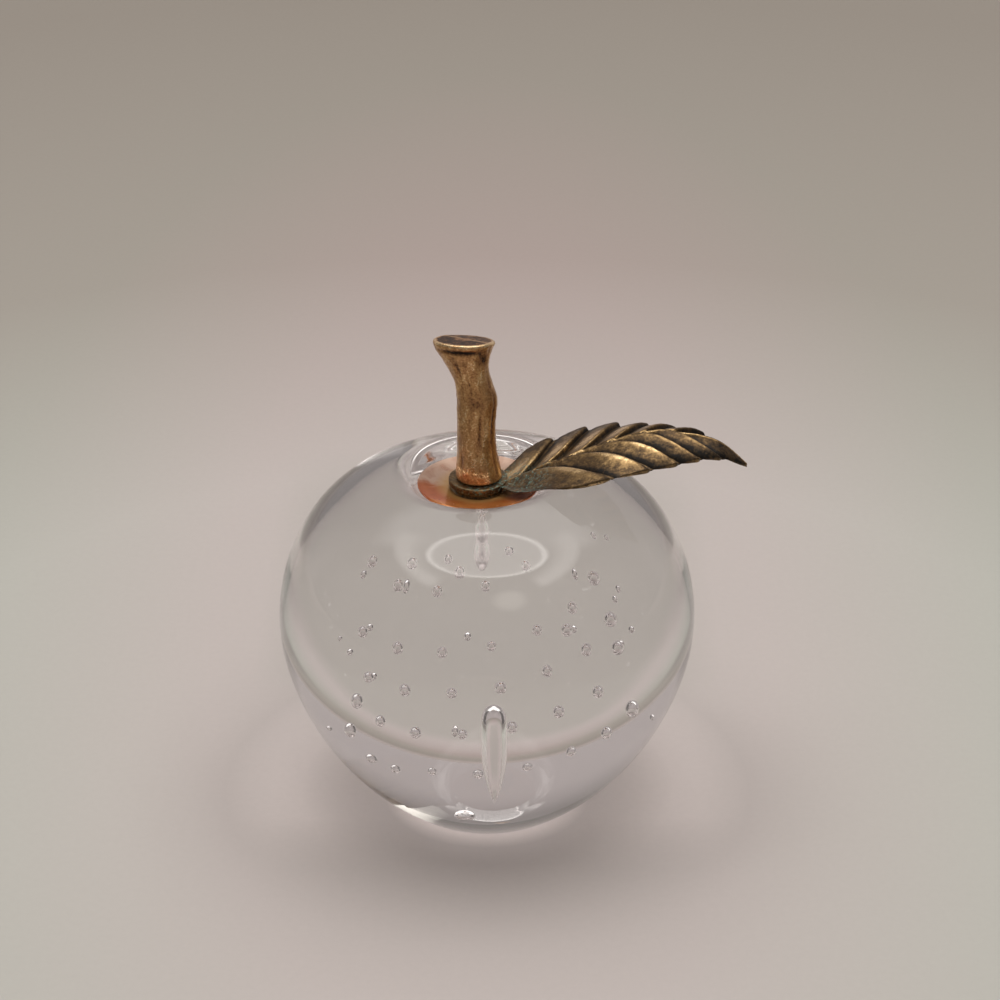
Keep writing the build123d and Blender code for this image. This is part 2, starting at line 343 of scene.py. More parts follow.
bubbleLayout = {
    "frontRadius": 0.86,
    "backRadius": 0.32,
    "ringRadius": 18.3,
    "gatherShift": 1.9,
    "gatherLean": 3.2,
    "lowRadius": 1.2,
    "lowPlace": (-2.5, 0, 11.2),
    # turn from the camera's side in degrees and height of each bubble
    "front": (
        (-78, 24.7), (-63, 21.4), (-48, 20.9), (-28, 22.1), (-6, 22.4), (17, 23.5), (39, 24.9), (60, 25.9),
        (81, 27.0), (-72, 29.1), (-55, 28.2), (-35, 28.2), (-12, 29.1), (11, 30.2), (34, 31.4), (57, 32.1),
        (-63, 33.5), (-40, 34.2), (-16, 35.4), (7, 36.5), (30, 38.0), (53, 38.9), (76, 35.8),
        (-69, 39.3), (-44, 40.3), (-20, 41.7), (4, 43.3), (27, 44.9), (43, 43.3), (74, 40.3),
        (-45, 50.3), (-22, 51.7), (3, 53.4), (48, 46.2), (67, 47.7),
        (-67, 50.7), (-37, 55.4), (-16, 58.2), (-10, 55.8), (17, 59.9), (25, 56.1),
    ),
    "back": (
        (-127, 35.3), (-150, 30.0), (-136, 28.8), (-125, 27.8), (-140, 23.6), (129, 38.5), (-165, 36.5),
        (123, 34.9), (129, 32.9), (134, 30.0), (153, 26.7), (-172, 24.8), (132, 27.7), (171, 39.0),
        (118, 31.3), (148, 31.2), (-168, 17.5), (-108, 22.5), (104, 24.0), (-101, 33.0), (105, 45.0),
    ),
}


def gatherPlace(height):
    # the rings of bubbles lean a little to the left as they rise
    return bubbleLayout["gatherShift"] - height * tan(radians(bubbleLayout["gatherLean"]))


def bubblePlace(turn, height):
    reach = bubbleLayout["ringRadius"]
    return (gatherPlace(height) + reach * sin(radians(turn)), -reach * cos(radians(turn)), height)


def airBead(centre, radius, tall=1.0, steps=9, around=16):
    # rings run down, so that the skin's outside faces the air in it
    leans = np.linspace(pi / 2, -pi / 2, steps + 2)[1:-1]
    angles = np.linspace(0, 2 * pi, around, endpoint=False)
    rings = [
        np.stack([
            centre[0] + radius * cos(lean) * np.cos(angles),
            centre[1] + radius * cos(lean) * np.sin(angles),
            np.full(around, centre[2] + tall * radius * sin(lean)),
        ], axis=-1)
        for lean in leans
    ]
    top = (centre[0], centre[1], centre[2] + tall * radius)
    bottom = (centre[0], centre[1], centre[2] - tall * radius)
    return ringShell(rings, low=top, high=bottom)


# Drops of air with the point down: height and radius as shares of the drop's own
dropSteps = 44
dropTurns = 40
airTear = {
    "tip": 13.8,
    "length": 12.5,
    "radius": 1.53,
    "shape": (
        (0, 0.02), (0.08, 0.22), (0.19, 0.45), (0.38, 0.72), (0.62, 0.97),
        (0.84, 1.0), (0.93, 0.86), (0.98, 0.55), (1, 0.1),
    ),
}
airDrop = {
    "tip": 42.3,
    "length": 9.2,
    "radius": 1.16,
    "shape": (
        (0, 0.02), (0.03, 0.4), (0.1, 0.73), (0.2, 1.0), (0.33, 0.98), (0.47, 0.76),
        (0.58, 0.84), (0.66, 0.96), (0.76, 0.88), (0.85, 0.64), (0.96, 0.45), (1, 0.1),
    ),
}


def makeDrop(drop):
    shares = (1 - np.cos(np.linspace(0, pi, dropSteps))) / 2
    profile = []
    for share in shares:
        radius = max(smoothStations(drop["shape"], share)[0], 0.02)
        profile.append((drop["radius"] * radius, drop["tip"] + drop["length"] * share))
    x = gatherPlace(drop["tip"] + drop["length"] / 2)
    rings = lathe(profile[::-1], dropTurns, centreX=x)
    return ringShell(rings, low=(x, 0, profile[-1][1] + 0.01), high=(x, 0, profile[0][1] - 0.01))


def makeGlass():
    turns = np.linspace(0, 2 * pi, glassShape["turns"], endpoint=False)
    sections = [crownSection(turn) for turn in turns]
    rings = np.array([
        [(s[k, 0] * cos(t) + crownX, s[k, 0] * sin(t), s[k, 1]) for s, t in zip(sections, turns)]
        for k in range(len(sections[0]))
    ])
    layout = bubbleLayout
    shells = [ringShell(rings, low=(crownX, 0, 0), high=(crownX, 0, holeFloor))]
    shells += [makeDrop(airTear), makeDrop(airDrop), airBead(layout["lowPlace"], layout["lowRadius"])]
    spread = np.random.default_rng(7)
    for side in ("front", "back"):
        for turn, height in layout[side]:
            radius = layout[side + "Radius"] * spread.uniform(0.85, 1.12)
            shells.append(airBead(bubblePlace(turn, height), radius, tall=spread.uniform(0.95, 1.12)))
    return makePiece("appleGlass", shells, clearGlassMaterial(), appleBody, ("glass_body",))


makeGlass()
print("glass with its bubbles made")

# Crown dish

restGap = 0.05
swivelGap = 0.05
dishShape = {
    "radius": 11.5,
    "thickness": 0.6,
    "curve": 44.8,
    "edgeRound": 0.15,
    "seatRadius": 4.8,
    "seatHeight": 1.15,
    "bore": 1.6,
    "beaten": 0.035,  # depth of its uneven skin
    "turns": 160,
    "steps": {"underside": 24, "top": 22},
    # copper from the camera's side to the back, the palest at the back as a painted reflection of the pale
    # backdrop, and where each tone stands
    "tones": ((1.0, 0.37, 0.10), (0.60, 0.14, 0.03), (0.55, 0.15, 0.04), (0.68, 0.47, 0.36)),
    "tonePlaces": (0.12, 0.26, 0.46, 0.58),
    "stain": (0.30, 0.08, 0.02),
    # yellow and then a dark crust, by the distance from the seat's middle
    "gold": (0.72, 0.44, 0.15),
    "goldReach": (0.0085, 0.0062),
    "crust": (0.10, 0.085, 0.05),
    "crustReach": (0.0058, 0.0051),
}
dishRim = bowlHeight(dishShape["radius"]) + restGap
dishCentre = dishRim + sqrt((dishShape["curve"] + dishShape["thickness"]) ** 2 - dishShape["radius"] ** 2)
seatTop = dishCentre - dishShape["curve"] + dishShape["seatHeight"]


def copperMaterial():
    # lacquered copper, orange at the camera's side, paler at the back as a painted reflection of the
    # backdrop, and yellow to dark by the seat
    shape = dishShape
    material, tree, shader = newMaterial("polishedCopper")
    place = objectPlace(tree)
    stain = addNoise(tree, 2.6, detail=5.0, roughness=0.6, distortion=0.6)
    back = addNode(tree, "ShaderNodeSeparateXYZ", {0: place}).outputs["Y"]
    back = addRange(tree, back, -0.012, 0.012)
    drift = addMath(tree, "ADD", back, addRange(tree, stain, 0.3, 0.7, -0.06, 0.06))
    # painted reflection: the ramp turns paler towards the back
    colour = addRamp(tree, drift, shape["tonePlaces"], shape["tones"])
    colour = addMix(tree, addRange(tree, stain, 0.55, 0.36, 0.0, 0.4), colour, shape["stain"])
    away = addVector(tree, "DISTANCE", place, (crownX * mm, 0.0, seatTop * mm))
    gold = addRange(tree, away, *shape["goldReach"], 0.0, 0.7)
    colour = addMix(tree, gold, colour, shape["gold"])
    crust = addRange(tree, addNoise(tree, 0.6, detail=5.0, roughness=0.7), 0.4, 0.6, 0.55, 1.0)
    seat = addProduct(tree, addRange(tree, away, *shape["crustReach"]), crust)
    tree.links.new(addMix(tree, seat, colour, shape["crust"]), shader.inputs["Base Color"])
    tree.links.new(addRange(tree, stain, 0.3, 0.7, 0.28, 0.18), shader.inputs["Roughness"])
    shader.inputs["Metallic"].default_value = 0.5
    shader.inputs["Coat Weight"].default_value = 0.2
    shader.inputs["Coat Roughness"].default_value = 0.08
    tree.links.new(addBump(tree, addNoise(tree, 2.2, detail=2.0), 0.1, 0.1), shader.inputs["Normal"])
    return material


def makeDish():
    # section from the bore out along the underside, back over the top and up the seat
    shape = dishShape
    bore, seat, edge = shape["bore"], shape["seatRadius"], shape["radius"] - shape["edgeRound"]
    outer = shape["curve"] + shape["thickness"]
    steps = shape["steps"]
    under = [(r, dishCentre - sqrt(outer**2 - r**2)) for r in np.linspace(bore, edge, steps["underside"])]
    topReach = np.linspace(edge, seat + 0.3, steps["top"])
    top = [(r, dishCentre - sqrt(shape["curve"] ** 2 - r**2)) for r in topReach]
    rim = [(shape["radius"], under[-1][1] + 0.16), (shape["radius"], top[0][1] - 0.12)]
    boss = [(seat, top[-1][1] + 0.25), (seat, seatTop - 0.08), (seat - 0.08, seatTop), (bore, seatTop)]
    section = under + rim + top + boss + [under[0]]
    points, faces = ringShell(lathe(section, shape["turns"], centreX=crownX))
    for point in points:
        point[2] += shape["beaten"] * grain(point, 3.0) * min(1.0, abs(point[2] - dishRim) + 0.2)
    shells = [(points, faces)]
    finish = copperMaterial()
    return makePiece("copperDish", shells, finish, appleBody, ("crown_dish",), sharpAngle=40)


makeDish()
print("crown dish made")

# Aged brass, in tones from the hollows and painted shade to the crests and painted highlights
brassTones = ((0.035, 0.017, 0.009), (0.33, 0.16, 0.068), (0.58, 0.33, 0.14), (0.92, 0.68, 0.40))
leafTones = ((0.010, 0.007, 0.005), (0.12, 0.078, 0.042), (0.42, 0.275, 0.125), (0.92, 0.66, 0.35))
tonePlaces = (0.0, 0.32, 0.72, 1.0)
verdigris = ((0.05, 0.10, 0.08), (0.17, 0.29, 0.24), (0.42, 0.56, 0.50))
verdigrisPlaces = (0.38, 0.55, 0.72)


def agedBrassMaterial(name, look):
    # rubbed bright on the crests and umber in the hollows, from a mark that also carries painted highlights
    # and shade, with green corrosion around one place
    smooth, patchy, speckled, metal = (look[key] for key in ("smooth", "patchy", "speckled", "metal"))
    material, tree, shader = newMaterial(name)
    wearAndLight = addNode(tree, "ShaderNodeAttribute", attribute_name="wearAndLight").outputs["Fac"]
    blotch = addNoise(tree, look["speckSize"] * 3.2, detail=3.0, upright=look["upright"])
    speck = addNoise(tree, look["speckSize"], detail=5.0, roughness=0.7)
    rubAndLight = addMath(tree, "ADD", wearAndLight, addRange(tree, blotch, 0.3, 0.7, -patchy, patchy))
    rubAndLight = addMath(tree, "ADD", rubAndLight, addRange(tree, speck, 0.3, 0.7, -speckled, speckled))
    colour = addRamp(tree, addProduct(tree, rubAndLight, look["rubAndLightScale"]), tonePlaces, look["tones"])
    metallic = addRange(tree, rubAndLight, 0.0, 0.4, 0.55 * metal, metal)
    roughness = addRange(tree, rubAndLight, 0.1, 0.9, smooth + 0.16, smooth - 0.05)
    if "greenAt" in look:
        reach = look["greenReach"] * mm
        away = addVector(tree, "DISTANCE", objectPlace(tree), tuple(v * mm for v in look["greenAt"]))
        crust = addRange(tree, addNoise(tree, 0.55, detail=5.0, roughness=0.7), 0.5, 0.6)
        green = addProduct(tree, addRange(tree, away, reach, 0.45 * reach), crust)
        corroded = addRamp(tree, addNoise(tree, 0.4, detail=2.0), verdigrisPlaces, verdigris)
        colour = addMix(tree, green, colour, corroded)
        metallic = addProduct(tree, metallic, addRange(tree, green, 0.0, 1.0, 1.0, 0.0))
        roughness = addMath(tree, "MAXIMUM", roughness, addRange(tree, green, 0.0, 1.0, 0.0, 0.85))
    tree.links.new(colour, shader.inputs["Base Color"])
    tree.links.new(metallic, shader.inputs["Metallic"])
    tree.links.new(roughness, shader.inputs["Roughness"])
    tree.links.new(addBump(tree, speck, 0.3, 0.1), shader.inputs["Normal"])
    return material


# Leaf

leafShape = {
    "eyeRadius": 5.6,
    "eyeThickness": 1.2,
    "eyeRound": 0.28,
    "bore": 1.55,
    "reach": 50.6,
    "rise": 10.4,
    "halfWidth": 12.4,
    "droop": 3.1,
    "slip": 1.2,
    "thickness": 0.8,
    "edgeThickness": 0.5,
    "relief": 1.25,
    "scallop": 0.75,
    "veinHeight": 0.35,
    "veinHalfWidth": 0.34,
    "grooveDepth": 0.25,
    "grooveWidth": 0.75,
    "wallWidth": 0.2,
    "pit": (0.34, 0.32),  # a casting's pinhole, by its share of the reach and of the half width
    "pitDepth": 0.35,
    "pitRadius": 0.45,
    "steps": {"along": 330, "top": 121, "underside": 33, "eye": 120},
    # share of the reach, then rise, half width and droop as shares of their own
    "stations": (
        (0.080, 0.00, 0.26, -0.05),
        (0.130, 0.04, 0.52, -0.15),
        (0.177, 0.13, 0.70, -0.22),
        (0.260, 0.31, 0.84, -0.05),
        (0.370, 0.52, 0.96, 0.26),
        (0.486, 0.74, 0.93, 0.56),
        (0.640, 0.94, 0.76, 0.98),
        (0.750, 0.92, 0.59, 0.84),
        (0.825, 0.85, 0.46, 0.60),
        (0.900, 0.70, 0.30, 0.38),
        (1.000, 0.31, 0.02, 0.05),
    ),
    # where the grooves leave the vein and where they meet the edge, as shares of the reach
    "frontRoots": (0.145, 0.300, 0.446, 0.574, 0.697),
    "frontEdges": (0.488, 0.633, 0.737, 0.819, 0.900),
    "backRoots": (0.153, 0.260, 0.385, 0.505, 0.620, 0.730),
    "backEdges": (0.285, 0.416, 0.536, 0.645, 0.747, 0.850),
    "finish": {
        "tones": leafTones, "speckSize": 0.5, "rubAndLightScale": 0.95, "smooth": 0.3, "upright": 1.0, "patchy": 0.16,
        "speckled": 0.2, "metal": 1.0, "greenAt": (3.4, -4.6, 68.8), "greenReach": 11.0,
    },
}
eyeBase = seatTop + swivelGap
eyeTop = eyeBase + leafShape["eyeThickness"]


def lobePlace(share, across):
    # a point's share along its lobe, and how far it lies from the groove behind and from the next
    side = "back" if across > 0 else "front"
    bend = abs(across) ** (0.75 if across > 0 else 0.55)
    grooves = [a + (b - a) * bend for a, b in zip(leafShape[side + "Roots"], leafShape[side + "Edges"])]
    grooves = [max(0.02, grooves[0] - 0.24)] + grooves + [1.08]
    k = max(k for k, groove in enumerate(grooves) if groove <= max(share, grooves[0]))
    span = grooves[k + 1] - grooves[k]
    place = max(share - grooves[k], 0.0) / span
    reach = leafShape["reach"] * span
    return place, (place if k else 1.0) * reach, (1 - place) * reach


def lobeHighlightTone(share, across, place, tipFade):
    # painted highlight: gold along each lobe's outer ridge, weaker towards the tip; near the vein on the
    # back half
    edge = min(abs(across), 1.0)
    if across > 0:
        hump = np.exp(-(((edge - 0.35) / 0.25) ** 2) - ((place - 0.6) / 0.3) ** 2)
    else:
        hump = np.exp(-(((edge - 0.5) / 0.3) ** 2) - ((place - 0.86) / 0.17) ** 2)
    tipward = max(share - 0.55, 0.0)
    return 0.42 - 0.6 * tipward + max(0.75 - 1.6 * tipward, 0.15) * hump * tipFade - 0.1 * edge**6


def bladePoint(share, across, top):
    # across runs from -1 at the front edge to 1 at the back; the mark holds rubbed wear with painted
    # highlights along the lobes and painted shade in the grooves and the pinhole
    shape = leafShape
    rise, width, droop = smoothStations(shape["stations"], share)
    edge = min(abs(across), 1.0)
    place, behind, ahead = lobePlace(share, across)
    # a lobe climbs gently from the eye's side and drops steeply at its outer end
    swell = 1.12 * place**0.8 * max(1 - place**18, 0.0)
    tipFade = min(1.0, 4 * width)
    fade = tipFade * min(1.0, (share - shape["stations"][0][0]) * 10)
    halfWidth = shape["halfWidth"] * width - shape["scallop"] * max(1 - swell, 0.0) * edge**4 * tipFade
    side = halfWidth * across - shape["slip"] * (1 - share) ** 2
    height = eyeBase + shape["thickness"] + shape["rise"] * rise - shape["droop"] * droop * edge**1.6
    if top:
        vein = np.exp(-((halfWidth * across / shape["veinHalfWidth"]) ** 2))
        wall = ahead / shape["wallWidth"]
        groove = np.exp(-(min(behind / shape["grooveWidth"], wall) ** 2))
        shade = np.exp(-(min(behind / (1.7 * shape["grooveWidth"]), wall) ** 2))
        height += shape["relief"] * (swell - 0.4) * fade * (1 - 0.35 * edge**3) * (1 - 0.6 * vein)
        height += (shape["veinHeight"] * vein - shape["grooveDepth"] * groove) * fade
        pitShare, pitAcross = shape["pit"]
        away = np.hypot((share - pitShare) * shape["reach"], (across - pitAcross) * halfWidth)
        height -= shape["pitDepth"] * np.exp(-((away / shape["pitRadius"]) ** 2))
        wearAndLight = lobeHighlightTone(share, across, place, tipFade) - shade
        # painted highlight in a ring round the pinhole and painted shade inside it
        wearAndLight += 0.6 * np.exp(-(((away - 0.85) / 0.25) ** 2)) - 1.2 * np.exp(-((away / 0.5) ** 2))
        wearAndLight = max(wearAndLight, 0.85 * vein)
    else:
        height -= shape["thickness"] + (shape["edgeThickness"] - shape["thickness"]) * edge
        height += 0.2 * (1 - min(swell, 1.0)) * fade
        wearAndLight = 0.3 + 0.3 * min(swell, 1.0)
    point = (shape["reach"] * share, side, height)
    lift = 0.05 * grain(point, 1.1) + 0.02 * grain(point, 0.45, 3.0)
    return (point[0], point[1], point[2] + lift * fade), wearAndLight


def makeLeaf():
    shape = leafShape
    steps = shape["steps"]
    stations = np.linspace(shape["stations"][0][0], 0.999, steps["along"])
    topAcross = np.sin(np.linspace(-pi / 2, pi / 2, steps["top"]))
    lowAcross = np.sin(np.linspace(pi / 2, -pi / 2, steps["underside"]))
    rings = []
    wearAndLightMarks = []
    for share in stations:
        around = [bladePoint(share, a, True) for a in topAcross]
        around += [bladePoint(share, a, False) for a in lowAcross]
        rings.append([point for point, wearAndLight in around])
        wearAndLightMarks.append([wearAndLight for point, wearAndLight in around])
    rings = np.array(rings)[:, ::-1] + np.array([crownX, 0, 0])
    wearAndLightMarks = np.array(wearAndLightMarks)[:, ::-1].ravel()
    tip = rings[-1].mean(axis=0) + np.array([0.05, 0, 0])
    blade = ringShell(rings, low=rings[0].mean(axis=0), high=tip)
    section = roundedRing(shape["bore"], shape["eyeRadius"], eyeBase, eyeTop, shape["eyeRound"])
    eye = ringShell(lathe(section, steps["eye"], centreX=crownX))
    for point in eye[0]:
        point[2] += 0.05 * grain(point, 1.2) * (1 if point[2] > eyeBase + 0.6 else 0)
    eyeWearAndLight = [0.2 + 0.25 * (p[2] - eyeBase) / shape["eyeThickness"] for p in eye[0]]
    marks = {"wearAndLight": np.concatenate([wearAndLightMarks, [0.5, 0.5], eyeWearAndLight])}
    finish = agedBrassMaterial("leafBrass", shape["finish"])
    return makePiece("castLeaf", [blade, eye], finish, leafBody, ("leaf",), marks)


makeLeaf()
print("leaf made")

# Washer and stem

washerShape = {
    "radius": 4.0,
    "bore": 1.6,
    "thickness": 0.4,
    "edgeRound": 0.1,
    "turns": 110,
    "wearAndLight": 0.55,
    "finish": {
        "tones": brassTones, "speckSize": 0.5, "rubAndLightScale": 1.0, "smooth": 0.3, "upright": 1.0, "patchy": 0.16,
        "speckled": 0.16, "metal": 1.0,
    },
}
washerBase = eyeTop + swivelGap
stemBase = washerBase + washerShape["thickness"]


def makeWasher():
    shape = washerShape
    section = roundedRing(shape["bore"], shape["radius"], washerBase, stemBase, shape["edgeRound"])
    shell = ringShell(lathe(section, shape["turns"], centreX=crownX))
    marks = {"wearAndLight": np.full(len(shell[0]), shape["wearAndLight"])}
    finish = agedBrassMaterial("washerBrass", shape["finish"])
    return makePiece("stemWasher", [shell], finish, appleBody, ("stem_washer",), marks)


makeWasher()

stemShape = {
    "height": 28.0,
    "footRadius": 4.35,
    # share of the height, then the shift to the right, half width and half depth
    # as shares of the foot's radius
    "sections": (
        (0.000, 0.03, 1.00, 1.00),
        (0.060, 0.00, 0.96, 0.97),
        (0.180, -0.07, 0.86, 0.88),
        (0.320, -0.10, 0.83, 0.85),
        (0.460, -0.08, 0.85, 0.86),
        (0.580, -0.05, 0.87, 0.86),
        (0.690, -0.18, 0.80, 0.84),
        (0.780, -0.35, 0.84, 0.86),
        (0.870, -0.49, 1.02, 0.96),
        (0.940, -0.56, 1.22, 1.06),
        (1.000, -0.54, 1.37, 1.14),
    ),
    # dents, creases and the knot: share of the height, turn, tall and wide in millimetres, depth
    "hollows": (
        (0.590, -97.0, 0.9, 0.9, 0.20),
        (0.640, -112.0, 1.6, 0.35, 0.16),
        (0.660, -84.0, 1.6, 0.35, 0.14),
        (0.720, -100.0, 2.4, 0.22, 0.14),
        (0.420, -76.0, 3.2, 0.36, 0.26),
        (0.400, -31.0, 9.0, 0.42, 0.26),
        (0.900, -46.0, 1.1, 0.8, 0.34),
        (0.930, -56.0, 0.4, 0.3, 0.26),
        (0.872, -38.0, 0.5, 0.3, 0.26),
        (0.895, -66.0, 0.4, 0.25, 0.2),
        # the groove under the rim's front, darkened by its depth as painted shade under the lip
        (0.950, -95.0, 0.3, 4.4, 0.42),
        (0.820, -118.0, 1.6, 0.35, 0.3),
        (0.150, -140.0, 2.0, 0.5, 0.2),
        (0.500, 80.0, 4.0, 0.7, 0.4),
        (0.250, 150.0, 3.0, 0.8, 0.3),
        (0.720, 30.0, 3.0, 0.9, 0.35),
    ),
    "ripple": 0.03,
    "cutTilt": 9.0,
    "facetTilt": 7.0,
    "facetTurn": 56.0,
    "facetShift": 0.3,
    # widths of the painted highlights along the crease and round the rim
    "creaseHighlightWidth": 0.22,
    "rimRound": 0.5,
    "rimWidth": 0.55,
    "capInsets": (0.9, 1.4, 1.9, 2.4, 2.9, 3.2, 3.5),
    "steps": {"up": 180, "around": 144},
    "finish": {
        "tones": brassTones, "speckSize": 0.4, "rubAndLightScale": 1.0, "smooth": 0.3, "upright": 4.0, "patchy": 0.2,
        "speckled": 0.34, "metal": 0.82,
    },
}


def creaseDistance(x, y):
    # how far a point on the cut top lies past its crease
    turn = radians(stemShape["facetTurn"])
    middle = stemShape["footRadius"] * stemShape["sections"][-1][1]
    return (x - middle) * cos(turn) + y * sin(turn) - stemShape["facetShift"]


def stemTopHeight(x, y):
    # two facets meet in a slanting crease
    shape = stemShape
    back = -y * tan(radians(shape["cutTilt"]))
    fall = max(creaseDistance(x, y), 0.0) * tan(radians(shape["facetTilt"]))
    return stemBase + shape["height"] + back - fall


def stemPoint(share, turn):
    shape = stemShape
    shift, width, depth = smoothStations(shape["sections"], share)
    foot = shape["footRadius"]
    ripple = 1 + shape["ripple"] * sin(3 * turn + 5 * share) * min(share * 8, 1)
    hollow = 0.0
    for place, middle, tall, wide, deep in shape["hollows"]:
        up = (share - place) * shape["height"] / tall
        aside = ((turn - radians(middle) + pi) % (2 * pi) - pi) * foot * width / wide
        hollow += deep * np.exp(-(up**2) - aside**2)
    x = foot * (shift + width * ripple * cos(turn))
    y = foot * depth * ripple * sin(turn)
    lift = 0.10 * grain((x * 1.5, y * 1.5, share * 14), 1.6) + 0.05 * grain((x, y, share * 20), 0.6, 5.0)
    inward = hollow - lift * min(share * 12, 1)
    x -= inward * cos(turn)
    y -= inward * sin(turn)
    level = stemBase + shape["height"] * share
    tilted = stemTopHeight(x, y) - stemBase - shape["height"]
    wearAndLight = 0.60 - 1.7 * hollow + 1.6 * lift + 0.08 * max(1 - share / 0.4, 0.0)
    return (x + crownX, y, level + tilted * share**4), wearAndLight


def topHighlightTone(past, inward):
    # painted highlights on the rim and the crease, and a painted reflection that makes the facet past the
    # crease a little lighter than the other
    facet = 0.0 if past < 0 else 0.1
    crease = 0.95 * np.exp(-((past / stemShape["creaseHighlightWidth"]) ** 2))
    return max(facet, crease, 1.0 if inward < stemShape["rimWidth"] else 0)


def makeStem():
    shape = stemShape
    steps = shape["steps"]
    turns = np.linspace(0, 2 * pi, steps["around"], endpoint=False)
    rings = []
    wearAndLightMarks = []
    for share in np.linspace(0, 1 - shape["rimRound"] / shape["height"], steps["up"]):
        ring = [stemPoint(share, turn) for turn in turns]
        rings.append([point for point, wearAndLight in ring])
        wearAndLightMarks += [wearAndLight for point, wearAndLight in ring]
    wall = np.array(rings[-1])
    middle = wall.mean(axis=0)
    reach = np.hypot(*(wall - middle)[:, :2].T)
    rounding = np.radians((15, 30, 45, 60, 75, 90))
    insets = [(shape["rimRound"] * (1 - cos(a)), shape["rimRound"] * (1 - sin(a))) for a in rounding]
    insets += [(inset, 0.0) for inset in shape["capInsets"]]
    for inward, below in insets:
        ring = wall.copy()
        ring[:, :2] = middle[:2] + (wall - middle)[:, :2] * (1 - inward / reach)[:, None]
        for point in ring:
            x = point[0] - crownX
            point[2] = stemTopHeight(x, point[1]) - below + 0.02 * grain(point, 1.2)
            wearAndLightMarks.append(topHighlightTone(creaseDistance(x, point[1]), inward))
        rings.append(ring.tolist())
    high = (middle[0], middle[1], stemTopHeight(middle[0] - crownX, middle[1]))
    shell = ringShell(rings, low=(crownX, 0, stemBase), high=high)
    marks = {"wearAndLight": np.concatenate([wearAndLightMarks, [0.5, 0.6]])}
    finish = agedBrassMaterial("stemBrass", shape["finish"])
    return makePiece("twigStem", [shell], finish, appleBody, ("stem",), marks, sharpAngle=50)


makeStem()
print("washer and stem made")

# Stud and cement, carried over from the frame: size of the mottle, tones, roughness and metal
hiddenFinish = {
    "stud": ("turnedSteel", 0.5, ((0.36, 0.35, 0.34), (0.58, 0.57, 0.55)), (0.45, 0.3), 1.0),
    "cement_plug": ("palePlug", 0.9, ((0.42, 0.38, 0.37), (0.62, 0.57, 0.55)), (0.35, 0.55), 0.0),
}


def mottledMaterial(name, size, tones, roughness, metallic):
    material, tree, shader = newMaterial(name)
    mottle = addNoise(tree, size)
    tree.links.new(addRamp(tree, mottle, (0.3, 0.7), tones), shader.inputs["Base Color"])
    tree.links.new(addRange(tree, mottle, 0.3, 0.7, *roughness), shader.inputs["Roughness"])
    shader.inputs["Metallic"].default_value = metallic
    return material


for hiddenNode, hiddenLook in hiddenFinish.items():
    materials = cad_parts[hiddenNode].data.materials
    materials.clear()
    materials.append(mottledMaterial(*hiddenLook))
print("stud and cement given their finish")

# Floor, room and camera

floorLook = {
    "reach": 3.0,
    "gap": 0.05,  # below the foot, in millimetres
    # painted shade: tones round the apple that darken outwards as the light falls off and lighten again far
    # out, and the distances over which each takes over
    "open": (0.61, 0.625, 0.57),
    "rings": (
        ((0.46, 0.43, 0.385), (0.14, 0.27)),
        ((0.375, 0.34, 0.30), (0.27, 0.50)),
        ((0.52, 0.46, 0.44), (0.60, 1.0)),
    ),
    # painted light: a pink glow, drawn out towards the back
    "pinkGlow": (1.12, 1.0, 1.06),
    "pinkGlowShift": (0.0, -0.08, 0.0),
    "pinkGlowSqueeze": (1.0, 0.35, 0.0),
    "pinkGlowReach": (0.12, 0.06),
    # painted light: a caustic glow just round the glass and under its foot
    "causticGlow": (0.98, 0.89, 0.865),
    "haloReach": (0.052, 0.037),
    "haloFront": (-0.03, -0.012),
    "haloMiddle": (0.012, 0.042),
    "footReach": (0.0225, 0.0185),
    "footFront": (0.0, -0.01),
    # painted shadow: the apple's shadow on the floor behind it
    "behind": (0.57, 0.545, 0.51),
    "behindNear": (0.03, 0.045),
    "behindFar": (0.15, 0.12),
    "behindSide": (0.05, 0.03),
    # painted shade: darker far out to both sides, where the light falls off
    "side": (0.30, 0.28, 0.26),
    "sideFrom": (0.125, 0.165),
    "sideBack": (0.22, 0.12),
    "fibre": (0.4, 0.38, 0.36),
}


